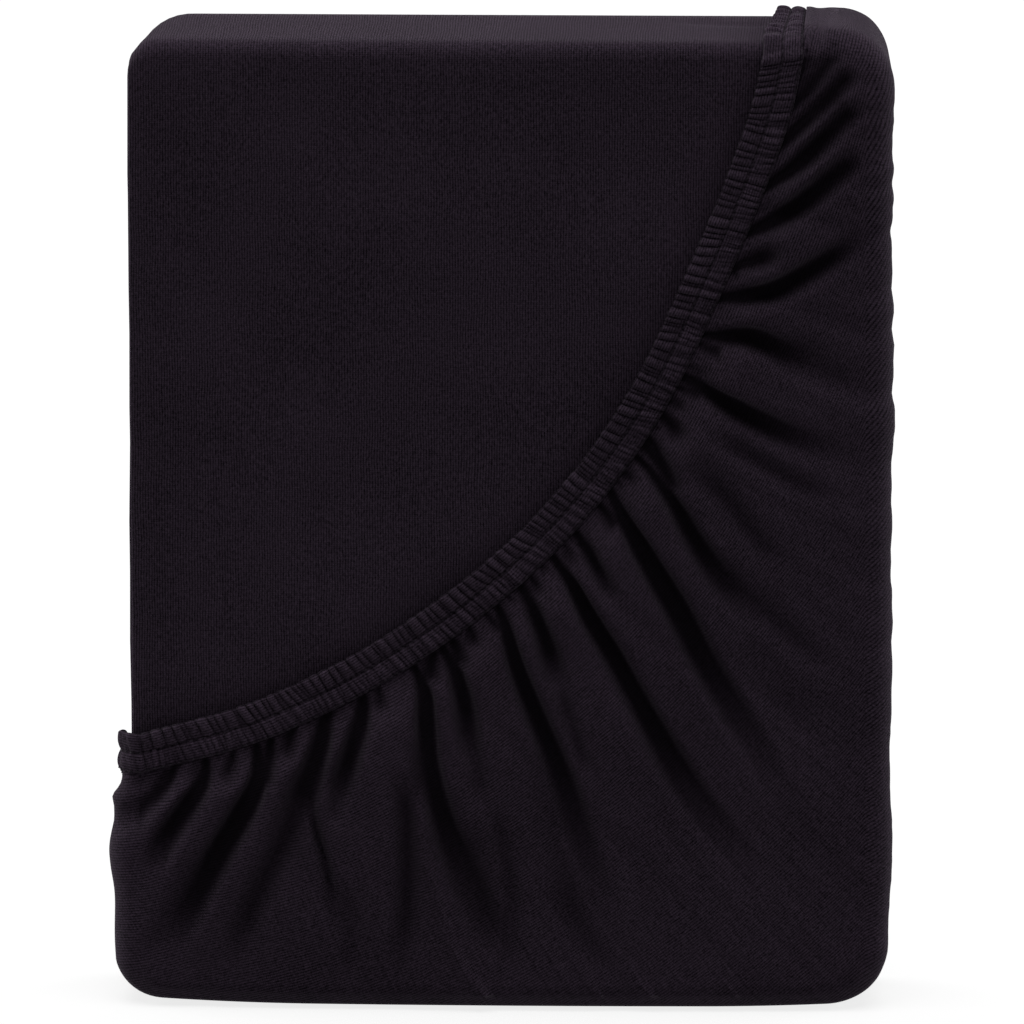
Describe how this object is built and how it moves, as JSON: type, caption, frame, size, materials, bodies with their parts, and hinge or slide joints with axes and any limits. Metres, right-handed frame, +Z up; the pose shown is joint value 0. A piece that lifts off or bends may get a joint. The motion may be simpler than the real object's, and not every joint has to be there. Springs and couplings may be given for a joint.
{
  "type": "fitted sheet",
  "caption": "Jersey fitted sheet folded into an upright pack, with one elasticated corner drawn over the front in radial folds.",
  "frame": {"origin": "under the middle of the pack, on the surface that it stands on", "axes": "+X to the right across the front panel, +Y from the front panel to the back, +Z up"},
  "size_m": [0.2474, 0.0528, 0.3165],
  "materials": {
    "jersey": "near-black cotton jersey, matt, with fine knit lines"
  },
  "bodies": {
    "root": {"fitted_sheet": "jersey"}
  },
  "joints": []
}
